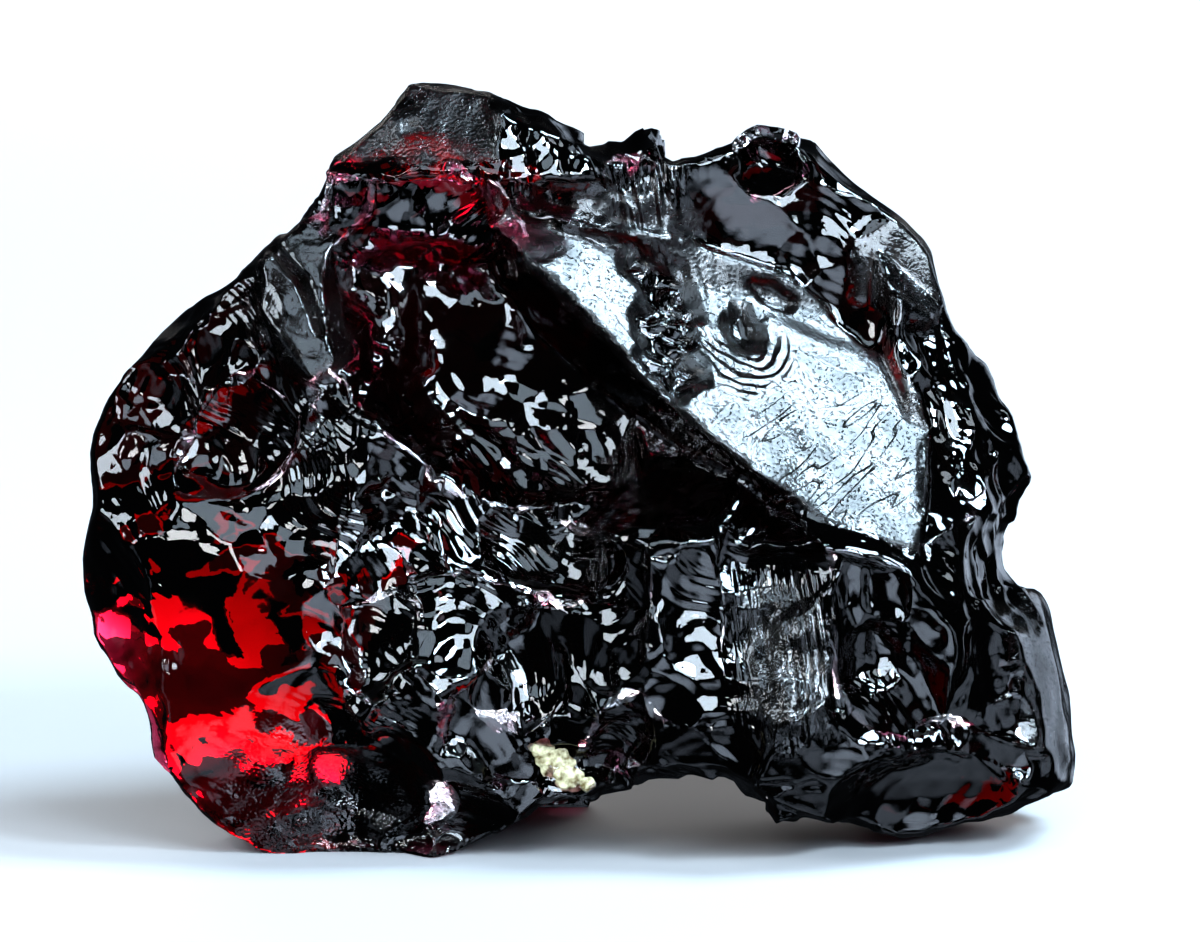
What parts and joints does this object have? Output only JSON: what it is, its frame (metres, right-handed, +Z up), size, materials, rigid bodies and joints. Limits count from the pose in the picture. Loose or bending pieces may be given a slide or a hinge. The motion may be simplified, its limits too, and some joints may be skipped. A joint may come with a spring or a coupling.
{
  "type": "painite crystal",
  "caption": "Rough broken painite crystal, dark red and glassy, standing on its own broken underside.",
  "frame": {"origin": "centre of the bounding box's bottom, on the surface that the stone stands on", "axes": "+X to the right along the broad face, which is the longest way across; +Y from the broad face to the back; +Z up, with the broad face leaning 10 degrees back"},
  "size_m": [0.04, 0.0236, 0.0303],
  "materials": {
    "crystal": "glassy broken crystal, smooth and hackly facets"
  },
  "bodies": {
    "root": {"painite_crystal": "crystal"}
  },
  "joints": []
}
